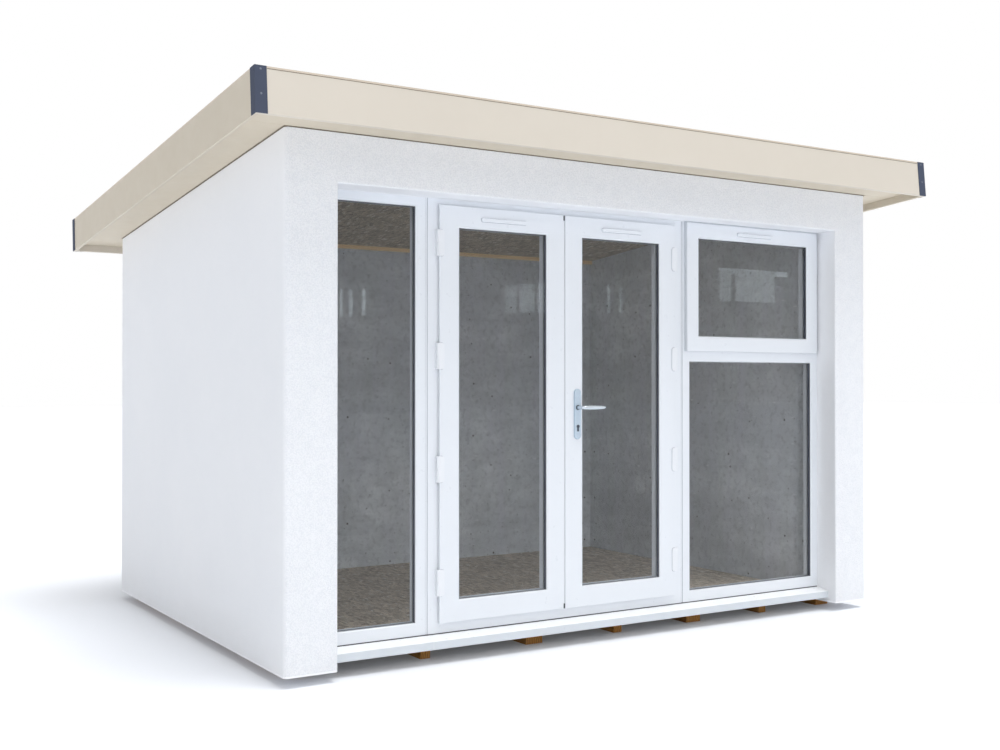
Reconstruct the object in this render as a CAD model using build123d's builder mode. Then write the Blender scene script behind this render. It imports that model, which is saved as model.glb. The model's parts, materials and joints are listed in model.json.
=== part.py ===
"""Garden office pod: a rendered, insulated room with a glazed front under a single-pitch roof.

Millimetres, +Z up.  The glazed front faces -Y.  The origin is on the ground, in the middle of
the roof's length and depth.  Spans are (low, high) pairs along one axis.
"""
import os
from math import atan, cos, degrees, sin

from build123d import *

os.makedirs("parts", exist_ok=True)

# ---- Driving sizes -------------------------------------------------------------------------

# Timber bearers, laid front to back
bearer_height = 45.0
bearer_wide = 95.0
bearer_narrow = 50.0
bearer_front_setback = 197.0
bearer_rear_setback = 60.0
outer_bearer_inset = 140.0
inner_bearers = ((-974.0, bearer_narrow), (-374.0, bearer_wide), (134.0, bearer_narrow),
                 (637.0, bearer_wide), (1135.0, bearer_narrow))

# Body
body_width = 3480.0
body_depth = 2524.0
wall_height = 2280.0            # front wall, from its foot to the roof
roof_fall = 0.0837              # drop of the roof for each unit of depth, front to rear
wall_core = 228.0               # rendered insulated wall without its lining
lining_thickness = 12.0
pier_width = 240.0
front_wall_depth = 240.0
lintel_depth = 217.0            # front lintel, from the head of the opening up to the roof
wall_corner_radius = 20.0
opening_corner_radius = 8.0
pick_margin = 0.5               # slack when edges are chosen by their place

# Floor
floor_panel_thickness = 36.0
floor_deck_thickness = 18.0
panel_front_setback = 160.0
deck_front_setback = 120.0
batten_height = 21.0
batten_thickness = 22.0

# Roof
front_overhang = 240.0
side_overhang = 216.0
rear_overhang = 270.0
roof_board = 11.0               # ceiling and soffit boards
roof_panel_thickness = 130.0
membrane_thickness = 3.0
fascia_depth = 190.0
fascia_lip = 39.0               # how far the fascia hangs below the soffit
fascia_thickness = 18.0
fascia_edge_radius = 3.0
edge_trim_width = 30.0
edge_trim_joint = 1.0
soffit_shadow_gap = 4.0
ceiling_edge_inset = 6.0
soffit_joint = 2.0
front_soffit_joint_x = 60.0     # butt joint of the two front soffit boards
side_soffit_joint_share = 0.64  # butt joint of the side soffit boards, as a share of their length
cap_thickness = 2.5
cap_leg = 50.0

# Frames of the glazed front
frame_setback = 135.0
frame_depth = 70.0
frame_foot = 75.0               # from the wall's foot to the underside of the frames
side_light_width = 492.0
coupler_width = 12.0
coupler_recess = 4.0
door_frame_width = 1496.0
fixed_member = 50.0             # sight width of the members around fixed glass
side_light_head = 46.0
fixed_bottom_rail = 62.0
glass_thickness = 28.0
glass_recess = 6.0
glass_bite = 12.0
glass_edge_gap = 2.0
frame_edge_radius = 2.0
bead_chamfer = 5.0              # sloping bead around each pane
room_bead_chamfer = 12.0        # and on its room side

# Opening leaves and the window's sash
leaf_proud = 18.0               # face of a leaf in front of its frame
flange_thickness = 13.0
flange_lap = 7.0
running_gap = 5.0
leaf_box_depth = 65.0
leaf_side_margin = 53.0
leaf_head_margin = 30.0
leaf_foot_margin = 50.0
meeting_gap = 6.0
leaf_stile = 103.5
leaf_rail = 101.5
leaf_edge_radius = 3.0
sash_side_margin = 19.0
sash_head_margin = 7.5
sash_foot = 1385.0              # from the wall's foot to the underside of the sash
sash_member = 79.0
lower_glass_head = 1331.0       # from the wall's foot to the top of the lower glass
meeting_block_height = 20.0

# Sill
sill_nose_setback = 55.0
sill_nose_height = 37.0
sill_fall = 14.0
sill_lip = 7.0
sill_lip_drop = 22.0
sill_nose_radius = 3.0
sill_joint = 1.0                # gap between the two lengths of sill

# Hinges
hinge_height = 120.0
hinge_barrel_radius = 6.0
hinge_pin_radius = 3.5
hinge_running_clearance = 0.05
hinge_step_gap = 0.5
hinge_leaf_gap = 9.0            # from the hinge axis to the edge of the leaf
hinge_axis_depth = 2.0          # from the face of the leaf back to the hinge axis
hinge_carrier_x = (-6.0, 3.0)   # the frame's part of a hinge, from the axis towards the leaf
hinge_carrier_gap = 1.0         # from the barrel back to the carrier
hinge_leaf_plate = (6.5, 31.0)
hinge_plate_lip = (3.7, 1.0)    # reach over the lower knuckle: start from the axis, thickness
hinge_plate_radius = 12.0
hinge_foot_inset = 185.0
hinge_head_inset = 176.0
hinges_per_leaf = 4

# Trickle vents
vent_length = 252.0
vent_height = 18.0
vent_depth = 9.0
vent_edge_radius = 2.5
door_vent_drop = 56.0
window_vent_drop = 43.0

# Door furniture
handle_inset = 69.0             # from the free edge of the leaf to the lever's axis
lever_height = 1099.0           # from the wall's foot to the lever's axis
plate_width = 38.0
plate_height = 246.0
plate_thickness = 9.0
plate_top_rise = 91.0           # from the lever's axis to the top of the plate
plate_edge_radius = 2.5
lever_neck_radius = 9.0
lever_neck_clearance = 0.05
lever_standoff = 46.0
lever_length = 136.0
lever_root_height = 20.0
lever_tip_height = 12.0
lever_thickness = 12.0
lever_edge_radius = 2.5
spindle_width = 8.0
spindle_hole_radius = 11.0
keyhole_drop = 92.0
cylinder_radius = 8.5
cylinder_web_width = 10.0
cylinder_height = 33.0
cylinder_proud = 2.0
cylinder_clearance = 0.3

# ---- Derived places ------------------------------------------------------------------------

opening_height = wall_height - lintel_depth
half_body = body_width / 2
half_opening = half_body - pier_width
wall_foot = bearer_height
roof_angle = atan(roof_fall)
roof_run = body_depth / cos(roof_angle)
roof_top = fascia_depth - fascia_lip

front_reach = (front_overhang + cap_thickness) * cos(roof_angle) + fascia_lip * sin(roof_angle)
rear_reach = (roof_run + rear_overhang + cap_thickness) * cos(roof_angle) + roof_top * sin(roof_angle)
front_y = (front_reach - rear_reach) / 2
rear_y = front_y + body_depth
room_front_y = front_y + front_wall_depth
room_rear_y = rear_y - wall_core - lining_thickness
body_x = (-half_body, half_body)
opening_x = (-half_opening, half_opening)
wall_z = (wall_foot, wall_foot + wall_height)

# Plane of the soffit: local X runs along the front, local Y down the slope to the rear
soffit_plane = Plane(
    origin=(0, front_y, wall_foot + wall_height),
    x_dir=(1, 0, 0),
    z_dir=(0, sin(roof_angle), cos(roof_angle)),
)
roof_x = (-half_body - side_overhang, half_body + side_overhang)
roof_s = (-front_overhang, roof_run + rear_overhang)

floor_z = (wall_foot, wall_foot + floor_panel_thickness)
deck_z = (floor_z[1], floor_z[1] + floor_deck_thickness)
panel_y = (front_y + panel_front_setback, room_rear_y)
deck_y = (front_y + deck_front_setback, room_rear_y)

frame_y = (front_y + frame_setback, front_y + frame_setback + frame_depth)
frame_z = (wall_foot + frame_foot, wall_foot + opening_height)
face_y = frame_y[0] - leaf_proud
flange_y = (face_y, face_y + flange_thickness)
box_y = (flange_y[1], flange_y[1] + leaf_box_depth)


def after(start, length):
    """The span that starts at a place and has a length."""
    return (start, start + length)


def shrink(span, low, high=None):
    """A span brought in at its low and high ends; negative margins let it out."""
    return (span[0] + low, span[1] - (low if high is None else high))


def middle(span):
    return (span[0] + span[1]) / 2


side_light_x = after(opening_x[0], side_light_width)
left_coupler_x = after(side_light_x[1], coupler_width)
door_frame_x = after(left_coupler_x[1], door_frame_width)
right_coupler_x = after(door_frame_x[1], coupler_width)
window_frame_x = (right_coupler_x[1], opening_x[1])

meeting_x = middle(door_frame_x)
left_leaf_x = (door_frame_x[0] + leaf_side_margin, meeting_x - meeting_gap / 2)
right_leaf_x = (meeting_x + meeting_gap / 2, door_frame_x[1] - leaf_side_margin)
leaf_z = shrink(frame_z, leaf_foot_margin, leaf_head_margin)

sash_x = shrink(window_frame_x, sash_side_margin)
sash_z = (wall_foot + sash_foot, frame_z[1] - sash_head_margin)

fixed_glass_y = after(frame_y[0] + glass_recess, glass_thickness)
leaf_glass_y = after(face_y + glass_recess, glass_thickness)
side_glass_x = shrink(side_light_x, fixed_member)
side_glass_z = shrink(frame_z, fixed_bottom_rail, side_light_head)
lower_glass_x = shrink(window_frame_x, fixed_member)
lower_glass_z = (frame_z[0] + fixed_bottom_rail, wall_foot + lower_glass_head)
left_glass_x = shrink(left_leaf_x, leaf_stile)
right_glass_x = shrink(right_leaf_x, leaf_stile)
door_glass_z = shrink(leaf_z, leaf_rail)
sash_glass_x = shrink(sash_x, sash_member)
sash_glass_z = shrink(sash_z, sash_member)

hinge_axis_y = face_y + hinge_axis_depth
left_hinge_x = left_leaf_x[0] - hinge_leaf_gap
right_hinge_x = right_leaf_x[1] + hinge_leaf_gap
lowest_hinge = leaf_z[0] + hinge_foot_inset
hinge_pitch = (leaf_z[1] - hinge_head_inset - lowest_hinge) / (hinges_per_leaf - 1)
hinge_places = [lowest_hinge + i * hinge_pitch for i in range(hinges_per_leaf)]

lever_x = right_leaf_x[0] + handle_inset
lever_z = wall_foot + lever_height
keyhole_z = lever_z - keyhole_drop
plate_z = (lever_z + plate_top_rise - plate_height, lever_z + plate_top_rise)
outer_plate_y = (face_y - plate_thickness, face_y)
inner_plate_y = after(box_y[1], plate_thickness)


# ---- Shapes used by many pieces: each adds to, or cuts, the part being built -----------------

def block(x, y, z, mode=Mode.ADD):
    """A squared block between its limits along X, Y and Z."""
    with BuildSketch(Plane.XY.offset(z[0])) as outline:
        with Locations((middle(x), middle(y))):
            Rectangle(x[1] - x[0], y[1] - y[0])
    extrude(outline.sketch, amount=z[1] - z[0], mode=mode)


def roof_slab(x, s, n, mode=Mode.ADD):
    """A slab lying with the roof: s runs down the slope and n stands off the soffit plane."""
    with BuildSketch(soffit_plane.offset(n[0])) as outline:
        with Locations((middle(x), middle(s))):
            Rectangle(x[1] - x[0], s[1] - s[0])
    extrude(outline.sketch, amount=n[1] - n[0], mode=mode)


def rod_y(x, y, z, radius, mode=Mode.ADD):
    """A round rod or hole along Y."""
    with BuildSketch(Plane.XZ.offset(-y[1])) as outline:
        with Locations((x, z)):
            Circle(radius)
    extrude(outline.sketch, amount=y[1] - y[0], mode=mode)


def rod_z(x, y, z, radius, mode=Mode.ADD):
    """A round rod or hole along Z."""
    with BuildSketch(Plane.XY.offset(z[0])) as outline:
        with Locations((x, y)):
            Circle(radius)
    extrude(outline.sketch, amount=z[1] - z[0], mode=mode)


def cut_above_soffit():
    """Trim the part being built to the sloping underside of the roof."""
    roof_slab((-body_width, body_width), (-body_depth, 2 * body_depth), (0, wall_height), Mode.SUBTRACT)


def cut_glazing(x, y, z):
    """The sight opening of a pane and the groove that holds the pane's edges."""
    groove = -(glass_bite + glass_edge_gap)
    block(x, (y[0] - body_depth, y[1] + body_depth), z, Mode.SUBTRACT)
    block(shrink(x, groove), y, shrink(z, groove), Mode.SUBTRACT)


def pane(x, y, z):
    """A sealed glass unit that reaches into the groove around its sight opening."""
    block(shrink(x, -glass_bite), y, shrink(z, -glass_bite))


def front_face(part):
    return part.faces().sort_by(Axis.Y)[0]


def lowest_opening(face):
    return face.inner_wires().sort_by(Axis.Z)[0].edges()


def soften_frame(part, edge_radius):
    """Round the outer front edges of a frame, and slope the beads of its lowest opening."""
    fillet(front_face(part).outer_wire().edges(), edge_radius)
    chamfer(lowest_opening(front_face(part)), bead_chamfer)
    chamfer(lowest_opening(part.faces().sort_by(Axis.Y)[-1]), room_bead_chamfer)


def glazed_leaf(part, x, z, glass_x, glass_z):
    """A leaf or sash: a thin flange that laps its frame and a box that stands inside it."""
    block(x, flange_y, z)
    box_inset = flange_lap + running_gap
    block(shrink(x, box_inset), box_y, shrink(z, box_inset))
    cut_glazing(glass_x, leaf_glass_y, glass_z)
    soften_frame(part, leaf_edge_radius)


def slot_plate(x, z, y, length, height, upright=False):
    """A plate with round ends, lying or standing, on a face that looks along -Y."""
    with BuildSketch(Plane.XZ.offset(-y[1])) as outline:
        with Locations((x, z)):
            SlotOverall(length, height, rotation=90 if upright else 0)
    extrude(outline.sketch, amount=y[1] - y[0])


# ---- Bearers and floor ---------------------------------------------------------------------

bearer_y = (front_y + bearer_front_setback, rear_y - bearer_rear_setback)
outer_bearer_x = half_body - outer_bearer_inset
all_bearers = ((-outer_bearer_x, bearer_wide),) + inner_bearers + ((outer_bearer_x, bearer_wide),)

with BuildPart() as bearers:
    for centre_x, width in all_bearers:
        block((centre_x - width / 2, centre_x + width / 2), bearer_y, (0, bearer_height))

with BuildPart() as floor_panel:
    block(opening_x, panel_y, floor_z)

with BuildPart() as floor_deck:
    block(opening_x, deck_y, deck_z)

# ---- Walls: one rendered shell, divided into its walls ---------------------------------------

lining_x = shrink(opening_x, -lining_thickness)
core_rear_y = rear_y - wall_core

with BuildPart() as shell:
    block(body_x, (front_y, rear_y), wall_z)
    fillet(shell.edges().filter_by(Axis.Z), wall_corner_radius)
    block(lining_x, (room_front_y, core_rear_y), wall_z, Mode.SUBTRACT)
    block(opening_x, (front_y, room_front_y), (wall_foot, frame_z[1]), Mode.SUBTRACT)
    front_edges = shell.faces().sort_by(Axis.Y)[0].edges()
    opening_edges = front_edges.filter_by(
        lambda edge: abs(edge.center().X) < half_opening + pick_margin
        and wall_foot + pick_margin < edge.center().Z < frame_z[1] + pick_margin
    )
    fillet(opening_edges, opening_corner_radius)
    cut_above_soffit()


def wall_from_shell(x, y, z=wall_z):
    """Keep the stretch of the shell between these limits."""
    add(shell.part)
    block(x, y, z, Mode.INTERSECT)


with BuildPart() as left_wall:
    wall_from_shell((body_x[0], lining_x[0]), (room_front_y, rear_y))

with BuildPart() as right_wall:
    wall_from_shell((lining_x[1], body_x[1]), (room_front_y, rear_y))

with BuildPart() as rear_wall:
    wall_from_shell(lining_x, (core_rear_y, rear_y))

with BuildPart() as front_left_pier:
    wall_from_shell((body_x[0], opening_x[0]), (front_y, room_front_y))

with BuildPart() as front_right_pier:
    wall_from_shell((opening_x[1], body_x[1]), (front_y, room_front_y))

with BuildPart() as front_lintel:
    wall_from_shell(opening_x, (front_y, room_front_y))

with BuildPart() as side_linings:
    for side_x in (lining_x[0], opening_x[1]):
        block(after(side_x, lining_thickness), (room_front_y, room_rear_y), wall_z)
    cut_above_soffit()

with BuildPart() as rear_lining:
    block(lining_x, (room_rear_y, core_rear_y), wall_z)
    cut_above_soffit()

batten_top = soffit_plane.origin.Z - (room_rear_y - front_y) * roof_fall
with BuildPart() as rear_batten:
    block(opening_x, (room_rear_y - batten_thickness, room_rear_y), (batten_top - batten_height, wall_z[1]))
    cut_above_soffit()

# ---- Roof ----------------------------------------------------------------------------------

inner_x = shrink(roof_x, fascia_thickness)
inner_s = shrink(roof_s, fascia_thickness)
ceiling_n = (0, roof_board)
panel_n = after(ceiling_n[1], roof_panel_thickness)
membrane_n = after(panel_n[1], membrane_thickness)
fascia_n = (-fascia_lip, membrane_n[1])
trim_n = (fascia_n[1], roof_top)
wall_s = (0, roof_run)

with BuildPart() as ceiling_board:
    roof_slab(shrink(body_x, ceiling_edge_inset), shrink(wall_s, ceiling_edge_inset), ceiling_n)

with BuildPart() as roof_panel:
    roof_slab(inner_x, inner_s, panel_n)

with BuildPart() as roof_membrane:
    roof_slab(inner_x, inner_s, membrane_n)

soffit_x = shrink(body_x, -soffit_shadow_gap)
soffit_s = shrink(wall_s, -soffit_shadow_gap)

with BuildPart() as front_soffit:
    roof_slab((inner_x[0], front_soffit_joint_x), (inner_s[0], soffit_s[0]), ceiling_n)
    roof_slab((front_soffit_joint_x + soffit_joint, inner_x[1]), (inner_s[0], soffit_s[0]), ceiling_n)

with BuildPart() as rear_soffit:
    roof_slab(inner_x, (soffit_s[1], inner_s[1]), ceiling_n)

side_soffit_s = shrink(soffit_s, soffit_joint)
side_joint_s = side_soffit_s[0] + side_soffit_joint_share * (side_soffit_s[1] - side_soffit_s[0])
with BuildPart() as side_soffits:
    for side_x in ((inner_x[0], soffit_x[0]), (soffit_x[1], inner_x[1])):
        roof_slab(side_x, (side_soffit_s[0], side_joint_s), ceiling_n)
        roof_slab(side_x, (side_joint_s + soffit_joint, side_soffit_s[1]), ceiling_n)


def soften_lower_edges(part):
    """Round the lower edges of the fascia boards along their length."""
    lower = part.edges().filter_by(lambda edge: edge.length > cap_leg)
    lower = lower.filter_by(lambda edge: soffit_plane.to_local_coords(edge.center()).Z < pick_margin - fascia_lip)
    fillet(lower, fascia_edge_radius)


with BuildPart() as front_fascia:
    roof_slab(roof_x, (roof_s[0], inner_s[0]), fascia_n)
    soften_lower_edges(front_fascia)

with BuildPart() as rear_fascia:
    roof_slab(roof_x, (inner_s[1], roof_s[1]), fascia_n)
    soften_lower_edges(rear_fascia)

with BuildPart() as side_fascias:
    for side_x in ((roof_x[0], inner_x[0]), (inner_x[1], roof_x[1])):
        roof_slab(side_x, inner_s, fascia_n)
    soften_lower_edges(side_fascias)

with BuildPart() as roof_edge_trim:
    for edge_s in ((roof_s[0], roof_s[0] + edge_trim_width), (roof_s[1] - edge_trim_width, roof_s[1])):
        roof_slab(roof_x, edge_s, trim_n)
    for edge_x in ((roof_x[0], roof_x[0] + edge_trim_width), (roof_x[1] - edge_trim_width, roof_x[1])):
        roof_slab(edge_x, shrink(roof_s, edge_trim_width + edge_trim_joint), trim_n)

with BuildPart() as corner_caps:
    cap_n = (-fascia_lip, roof_top)
    cap_x = shrink(roof_x, -cap_thickness)
    cap_s = shrink(roof_s, -cap_thickness)
    for front_x in (after(cap_x[0], cap_leg), (cap_x[1] - cap_leg, cap_x[1])):
        roof_slab(front_x, (cap_s[0], roof_s[0]), cap_n)
        roof_slab(front_x, (roof_s[1], cap_s[1]), cap_n)
    for end_s in (after(cap_s[0], cap_leg), (cap_s[1] - cap_leg, cap_s[1])):
        roof_slab((cap_x[0], roof_x[0]), end_s, cap_n)
        roof_slab((roof_x[1], cap_x[1]), end_s, cap_n)

# ---- Fixed frames of the glazed front --------------------------------------------------------

with BuildPart() as side_light_frame:
    block(side_light_x, frame_y, frame_z)
    cut_glazing(side_glass_x, fixed_glass_y, side_glass_z)
    soften_frame(side_light_frame, frame_edge_radius)

with BuildPart() as side_light_glass:
    pane(side_glass_x, fixed_glass_y, side_glass_z)

with BuildPart() as frame_couplers:
    for coupler_x in (left_coupler_x, right_coupler_x):
        block(coupler_x, shrink(frame_y, coupler_recess), frame_z)

with BuildPart() as door_frame:
    block(door_frame_x, frame_y, frame_z)
    doorway_x = (left_leaf_x[0] + flange_lap, right_leaf_x[1] - flange_lap)
    doorway_z = shrink(leaf_z, flange_lap)
    block(doorway_x, frame_y, doorway_z, Mode.SUBTRACT)
    fillet(front_face(door_frame).edges(), frame_edge_radius)

with BuildPart() as meeting_blocks:
    half_block = meeting_gap / 2 + flange_lap
    block_y = (frame_y[0], box_y[1])
    for block_z in (after(doorway_z[0], meeting_block_height),
                    (doorway_z[1] - meeting_block_height, doorway_z[1])):
        block((meeting_x - half_block, meeting_x + half_block), block_y, block_z)

with BuildPart() as window_frame:
    block(window_frame_x, frame_y, frame_z)
    block(shrink(sash_x, flange_lap), frame_y, shrink(sash_z, flange_lap), Mode.SUBTRACT)
    cut_glazing(lower_glass_x, fixed_glass_y, lower_glass_z)
    soften_frame(window_frame, frame_edge_radius)

with BuildPart() as lower_light_glass:
    pane(lower_glass_x, fixed_glass_y, lower_glass_z)

with BuildPart() as window_sash:
    glazed_leaf(window_sash, sash_x, sash_z, sash_glass_x, sash_glass_z)

with BuildPart() as window_glass:
    pane(sash_glass_x, leaf_glass_y, sash_glass_z)

with BuildPart() as window_vent:
    slot_plate(middle(sash_x), sash_z[1] - window_vent_drop, (face_y - vent_depth, face_y), vent_length, vent_height)
    fillet(window_vent.faces().sort_by(Axis.Y)[0].edges(), vent_edge_radius)

with BuildPart() as sill:
    nose_y = front_y + sill_nose_setback
    nose_top = frame_z[0] - sill_fall
    lip_y = nose_y + sill_lip
    with BuildSketch(Plane.YZ.offset(opening_x[0])):
        with BuildLine():
            Polyline(
                (frame_y[1], frame_z[0]),
                (frame_y[0], frame_z[0]),
                (nose_y, nose_top),
                (nose_y, nose_top - sill_nose_height),
                (lip_y, nose_top - sill_nose_height),
                (lip_y, nose_top - sill_nose_height + sill_lip_drop),
                (deck_y[0], deck_z[1]),
                (frame_y[1], deck_z[1]),
                close=True,
            )
        make_face()
    extrude(amount=opening_x[1] - opening_x[0])
    fillet(sill.edges().filter_by(Axis.X).group_by(Axis.Y)[0], sill_nose_radius)
    block(after(left_coupler_x[0], sill_joint), (nose_y, frame_y[1]), (wall_foot, frame_z[1]), Mode.SUBTRACT)

# ---- Door leaves -----------------------------------------------------------------------------

with BuildPart() as left_door_leaf:
    glazed_leaf(left_door_leaf, left_leaf_x, leaf_z, left_glass_x, door_glass_z)

with BuildPart() as right_door_leaf:
    glazed_leaf(right_door_leaf, right_leaf_x, leaf_z, right_glass_x, door_glass_z)
    rod_y(lever_x, (flange_y[0], box_y[1]), lever_z, spindle_hole_radius, Mode.SUBTRACT)
    block(
        (lever_x - cylinder_radius - cylinder_clearance, lever_x + cylinder_radius + cylinder_clearance),
        (flange_y[0], box_y[1]),
        (keyhole_z + cylinder_radius - cylinder_height - cylinder_clearance,
         keyhole_z + cylinder_radius + cylinder_clearance),
        Mode.SUBTRACT,
    )

with BuildPart() as left_door_glass:
    pane(left_glass_x, leaf_glass_y, door_glass_z)

with BuildPart() as right_door_glass:
    pane(right_glass_x, leaf_glass_y, door_glass_z)


def door_vent(leaf_x):
    """The canopy of a trickle vent on a leaf's top rail."""
    slot_plate(middle(leaf_x), leaf_z[1] - door_vent_drop, (face_y - vent_depth, face_y), vent_length, vent_height)


with BuildPart() as left_door_vent:
    door_vent(left_leaf_x)
    fillet(left_door_vent.faces().sort_by(Axis.Y)[0].edges(), vent_edge_radius)

with BuildPart() as right_door_vent:
    door_vent(right_leaf_x)
    fillet(right_door_vent.faces().sort_by(Axis.Y)[0].edges(), vent_edge_radius)

# ---- Hinges: the lower knuckle and the pin stay on the frame, the upper knuckle is the leaf's --

def sideways(axis_x, towards_leaf, span):
    """A span measured from a hinge axis towards (+1 to the right, -1 to the left) the leaf."""
    ends = (axis_x + towards_leaf * span[0], axis_x + towards_leaf * span[1])
    return (min(ends), max(ends))


def frame_hinge(axis_x, towards_leaf, centre_z):
    knuckle_z = (centre_z - hinge_height / 2, centre_z - hinge_step_gap)
    carrier_x = sideways(axis_x, towards_leaf, hinge_carrier_x)
    carrier_front = hinge_axis_y + hinge_barrel_radius + hinge_carrier_gap
    block(carrier_x, (carrier_front, frame_y[0]), after(knuckle_z[0], hinge_height))
    block(carrier_x, (hinge_axis_y, carrier_front), knuckle_z)
    rod_z(axis_x, hinge_axis_y, knuckle_z, hinge_barrel_radius)
    pin_z = (knuckle_z[0], centre_z + hinge_height / 2)
    rod_z(axis_x, hinge_axis_y, pin_z, hinge_pin_radius)


def leaf_hinge(axis_x, towards_leaf, centre_z):
    knuckle_z = (centre_z + hinge_step_gap, centre_z + hinge_height / 2)
    plate_y = (hinge_axis_y - hinge_barrel_radius, face_y)
    plate_x = sideways(axis_x, towards_leaf, hinge_leaf_plate)
    with BuildSketch(Plane.XZ.offset(-plate_y[1])) as outline:
        with Locations((middle(plate_x), centre_z)):
            Rectangle(plate_x[1] - plate_x[0], hinge_height)
        free_corners = outline.vertices().sort_by(Axis.X, reverse=towards_leaf > 0)[0:2]
        fillet(free_corners, hinge_plate_radius)
    extrude(outline.sketch, amount=plate_y[1] - plate_y[0])
    block(sideways(axis_x, towards_leaf, (0, hinge_leaf_plate[0])), plate_y, knuckle_z)
    lip_start, lip_thickness = hinge_plate_lip
    lip_z = (centre_z - hinge_height / 2, knuckle_z[0])
    block(sideways(axis_x, towards_leaf, (lip_start, hinge_leaf_plate[0])), after(plate_y[0], lip_thickness), lip_z)
    rod_z(axis_x, hinge_axis_y, knuckle_z, hinge_barrel_radius)
    rod_z(axis_x, hinge_axis_y, knuckle_z, hinge_pin_radius + hinge_running_clearance, Mode.SUBTRACT)


with BuildPart() as left_frame_hinges:
    for hinge_z in hinge_places:
        frame_hinge(left_hinge_x, 1, hinge_z)

with BuildPart() as right_frame_hinges:
    for hinge_z in hinge_places:
        frame_hinge(right_hinge_x, -1, hinge_z)

with BuildPart() as left_leaf_hinges:
    for hinge_z in hinge_places:
        leaf_hinge(left_hinge_x, 1, hinge_z)

with BuildPart() as right_leaf_hinges:
    for hinge_z in hinge_places:
        leaf_hinge(right_hinge_x, -1, hinge_z)

# ---- Door furniture --------------------------------------------------------------------------

def cylinder_profile(y, clearance=0.0, mode=Mode.ADD):
    """The lock cylinder's section, round above and a narrow web below, run along Y."""
    rod_y(lever_x, y, keyhole_z, cylinder_radius + clearance, mode)
    half_web = cylinder_web_width / 2 + clearance
    web_foot = keyhole_z + cylinder_radius - cylinder_height - clearance
    block((lever_x - half_web, lever_x + half_web), y, (web_foot, keyhole_z), mode)


with BuildPart() as handle_plates:
    for plate_y in (outer_plate_y, inner_plate_y):
        slot_plate(lever_x, middle(plate_z), plate_y, plate_height, plate_width, upright=True)
    plate_faces = handle_plates.faces().sort_by(Axis.Y)
    fillet(plate_faces[0].edges() + plate_faces[-1].edges(), plate_edge_radius)
    both_plates_y = (outer_plate_y[0], inner_plate_y[1])
    rod_y(lever_x, both_plates_y, lever_z, lever_neck_radius + lever_neck_clearance, Mode.SUBTRACT)
    cylinder_profile(both_plates_y, cylinder_clearance, Mode.SUBTRACT)

with BuildPart() as lock_cylinder:
    cylinder_profile((outer_plate_y[0] - cylinder_proud, inner_plate_y[1] + cylinder_proud))


def lever(neck_y, arm_y):
    """A lever's neck and its tapered arm, which points away from the leaf's free edge."""
    rod_y(lever_x, neck_y, lever_z, lever_neck_radius)
    with BuildSketch(Plane.XZ.offset(-arm_y[1])) as outline:
        with Locations((lever_x, lever_z)):
            Circle(lever_root_height / 2)
        tip_x = lever_x + lever_length - lever_tip_height / 2
        with Locations((tip_x, lever_z)):
            Circle(lever_tip_height / 2)
        with BuildLine():
            Polyline(
                (lever_x, lever_z + lever_root_height / 2),
                (tip_x, lever_z + lever_tip_height / 2),
                (tip_x, lever_z - lever_tip_height / 2),
                (lever_x, lever_z - lever_root_height / 2),
                close=True,
            )
        make_face()
    extrude(outline.sketch, amount=arm_y[1] - arm_y[0])


with BuildPart() as lever_handle:
    outer_neck_y = (outer_plate_y[0] - lever_standoff, face_y - running_gap / 10)
    inner_neck_y = (box_y[1] + running_gap / 10, inner_plate_y[1] + lever_standoff)
    lever(outer_neck_y, (outer_neck_y[0] - lever_thickness, outer_neck_y[0]))
    lever(inner_neck_y, (inner_neck_y[1], inner_neck_y[1] + lever_thickness))
    lever_faces = lever_handle.faces().sort_by(Axis.Y)
    fillet(lever_faces[0].edges() + lever_faces[-1].edges(), lever_edge_radius)
    block(
        (lever_x - spindle_width / 2, lever_x + spindle_width / 2),
        (outer_neck_y[1], inner_neck_y[0]),
        (lever_z - spindle_width / 2, lever_z + spindle_width / 2),
    )

# ---- Labels and files --------------------------------------------------------------------------

nodes = {
    "bearers": bearers,
    "floor_panel": floor_panel,
    "floor_deck": floor_deck,
    "left_wall": left_wall,
    "right_wall": right_wall,
    "rear_wall": rear_wall,
    "front_left_pier": front_left_pier,
    "front_right_pier": front_right_pier,
    "front_lintel": front_lintel,
    "side_linings": side_linings,
    "rear_lining": rear_lining,
    "rear_batten": rear_batten,
    "ceiling_board": ceiling_board,
    "roof_panel": roof_panel,
    "roof_membrane": roof_membrane,
    "roof_edge_trim": roof_edge_trim,
    "front_fascia": front_fascia,
    "rear_fascia": rear_fascia,
    "side_fascias": side_fascias,
    "front_soffit": front_soffit,
    "rear_soffit": rear_soffit,
    "side_soffits": side_soffits,
    "corner_caps": corner_caps,
    "side_light_frame": side_light_frame,
    "side_light_glass": side_light_glass,
    "frame_couplers": frame_couplers,
    "door_frame": door_frame,
    "meeting_blocks": meeting_blocks,
    "window_frame": window_frame,
    "lower_light_glass": lower_light_glass,
    "window_sash": window_sash,
    "window_glass": window_glass,
    "window_vent": window_vent,
    "sill": sill,
    "left_frame_hinges": left_frame_hinges,
    "right_frame_hinges": right_frame_hinges,
    "left_door_leaf": left_door_leaf,
    "left_door_glass": left_door_glass,
    "left_door_vent": left_door_vent,
    "left_leaf_hinges": left_leaf_hinges,
    "right_door_leaf": right_door_leaf,
    "right_door_glass": right_door_glass,
    "right_door_vent": right_door_vent,
    "right_leaf_hinges": right_leaf_hinges,
    "handle_plates": handle_plates,
    "lock_cylinder": lock_cylinder,
    "lever_handle": lever_handle,
}

for label, piece in nodes.items():
    piece.part.label = label
    export_step(piece.part, f"parts/{label}.step")

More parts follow.
